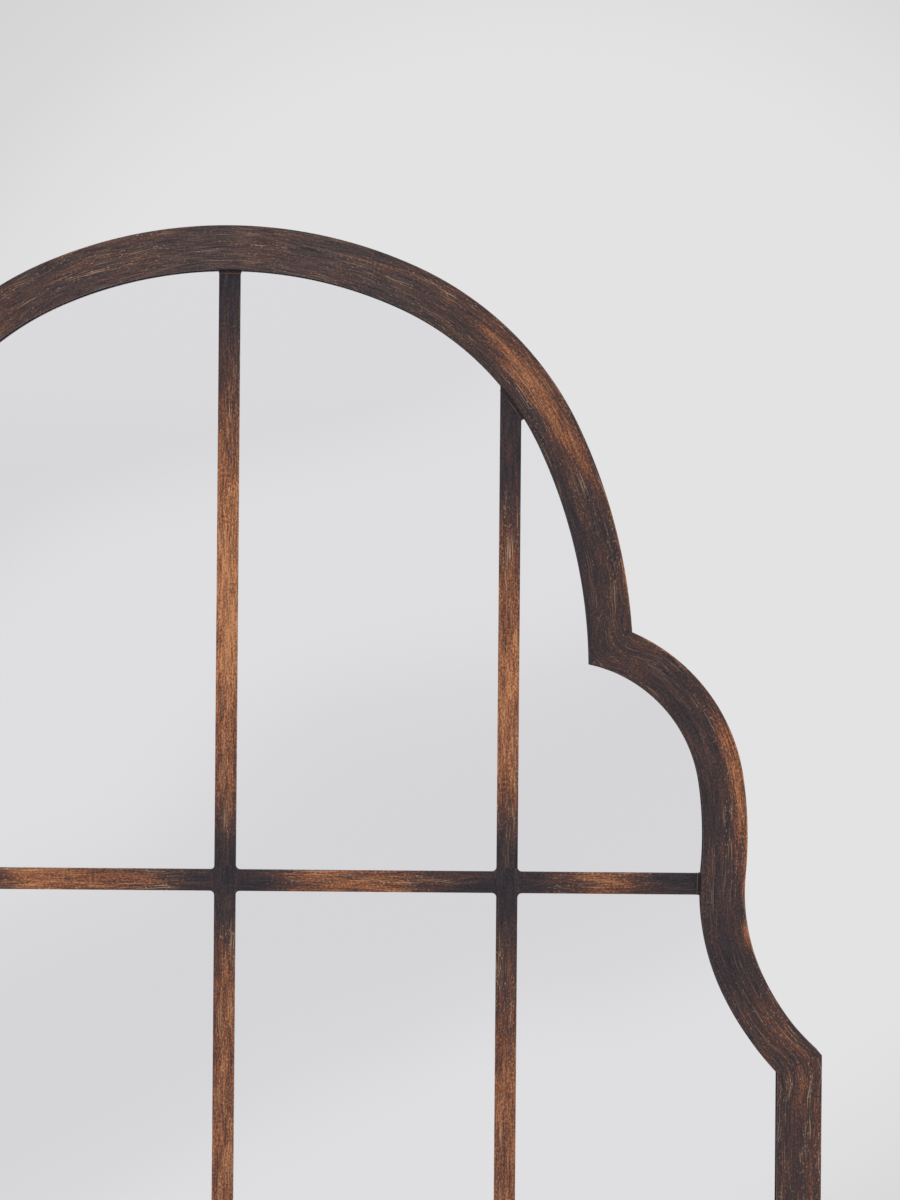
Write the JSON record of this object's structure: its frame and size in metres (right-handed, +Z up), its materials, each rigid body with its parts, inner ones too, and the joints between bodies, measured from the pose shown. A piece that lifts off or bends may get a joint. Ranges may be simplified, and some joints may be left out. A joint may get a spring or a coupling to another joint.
{
  "type": "arched window mirror",
  "caption": "Wall mirror with an arched, cusp-shouldered steel frame, a window-pane grille of flat bars, a backing board and swinging D-ring hangers.",
  "frame": {"origin": "on the wall plane behind the mirror, on its axis of symmetry, at mid height", "axes": "+Z up, +X to the right seen from the front, -Y out of the mirror's face, +Y into the wall"},
  "size_m": [0.678, 0.026, 1.094],
  "materials": {
    "frame_finish": "dark bronze paint, brushed along the rails and rubbed through to copper",
    "grille_finish": "the same paint, rubbed to orange copper at the middle of each bar and dark at the crossings",
    "mirror": "silvered float glass",
    "foam": "closed-cell foam strip",
    "fibreboard": "raw fibreboard",
    "zinc": "bright zinc plate",
    "rubber": "matt black"
  },
  "bodies": {
    "root": {"arch_rail": "frame_finish", "shoulder_rail_left": "frame_finish", "shoulder_rail_right": "frame_finish", "stile_left": "frame_finish", "stile_right": "frame_finish", "bottom_rail": "frame_finish", "window_grille": "grille_finish", "mirror_glass": "mirror", "foam_strip": "foam", "backing_board": "fibreboard", "clip_apex": "zinc", "clip_haunch_left": "zinc", "clip_haunch_right": "zinc", "clip_stile_upper_left": "zinc", "clip_stile_upper_right": "zinc", "clip_stile_lower_left": "zinc", "clip_stile_lower_right": "zinc", "clip_bottom_left": "zinc", "clip_bottom_right": "zinc", "clip_screw_apex": "zinc", "clip_screw_haunch_left": "zinc", "clip_screw_haunch_right": "zinc", "clip_screw_stile_upper_left": "zinc", "clip_screw_stile_upper_right": "zinc", "clip_screw_stile_lower_left": "zinc", "clip_screw_stile_lower_right": "zinc", "clip_screw_bottom_left": "zinc", "clip_screw_bottom_right": "zinc", "hanger_strap_left": "zinc", "hanger_strap_right": "zinc", "hanger_screw_left_1": "zinc", "hanger_screw_left_2": "zinc", "hanger_screw_right_1": "zinc", "hanger_screw_right_2": "zinc", "wall_pad_upper_left": "rubber", "wall_pad_upper_right": "rubber", "wall_pad_lower_left": "rubber", "wall_pad_lower_right": "rubber"},
    "ring_left": {"hanger_ring_left": "zinc"},
    "ring_right": {"hanger_ring_right": "zinc"}
  },
  "joints": [
    {"name": "ring_left_swing", "type": "hinge", "parent": "root", "child": "ring_left", "pos_m": [-0.2, -0.004, 0.25], "axis": [1, 0, 0], "range_deg": [0, 178]},
    {"name": "ring_right_swing", "type": "hinge", "parent": "root", "child": "ring_right", "pos_m": [0.2, -0.004, 0.25], "axis": [1, 0, 0], "range_deg": [0, 178]}
  ]
}
